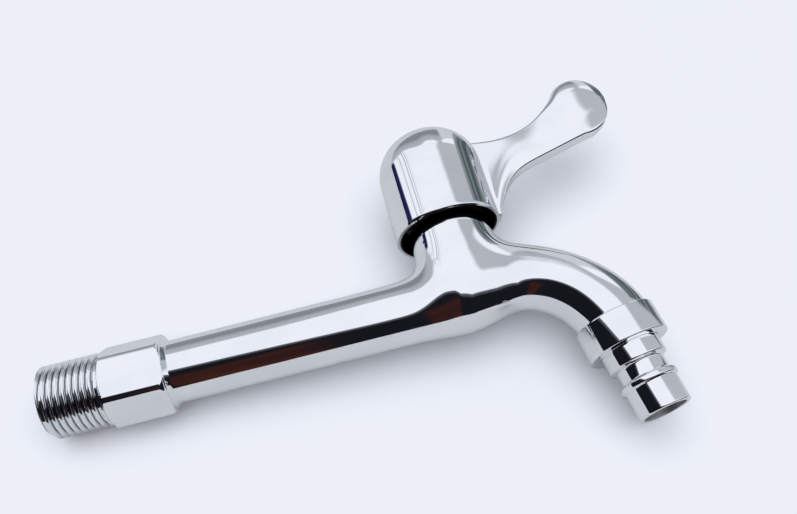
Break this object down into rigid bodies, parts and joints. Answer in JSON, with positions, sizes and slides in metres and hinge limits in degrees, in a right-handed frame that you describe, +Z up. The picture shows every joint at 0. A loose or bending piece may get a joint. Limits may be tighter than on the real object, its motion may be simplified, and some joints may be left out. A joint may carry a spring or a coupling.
{
  "type": "washing machine tap",
  "caption": "Long wall tap with a quarter-turn lever on a domed cap, a bent spout and a stepped quick-connect hose nozzle.",
  "frame": {"origin": "centre of the inlet thread's end face", "axes": "+X from the inlet along the tube to the spout, +Z up the valve tower, as the tap is mounted on a wall"},
  "size_m": [0.1857, 0.0324, 0.1132],
  "materials": {
    "chrome": "polished chrome plate",
    "brass": "machined brass",
    "black_rubber": "moulded rubber",
    "ceramic": "lapped alumina ceramic",
    "white_plastic": "white low-friction plastic",
    "spring_steel": "plain steel"
  },
  "bodies": {
    "fixed_parts": {"tap_body": "chrome", "bonnet": "brass", "bonnet_washer": "black_rubber", "seat_seal": "black_rubber", "ceramic_disc_fixed": "ceramic", "friction_washer": "white_plastic", "collar_nut": "chrome", "nozzle_gasket": "black_rubber", "nozzle": "chrome"},
    "turning_parts": {"handle": "chrome", "handle_grub_screw": "spring_steel", "spindle": "brass", "spindle_o_ring_lower": "black_rubber", "spindle_o_ring_upper": "black_rubber", "circlip": "spring_steel", "ceramic_disc_moving": "ceramic"}
  },
  "joints": [
    {"name": "handle_turn", "type": "hinge", "parent": "fixed_parts", "child": "turning_parts", "pos_m": [0.123, 0, 0.04], "axis": [0, 0, 1], "range_deg": [0, 90]}
  ]
}
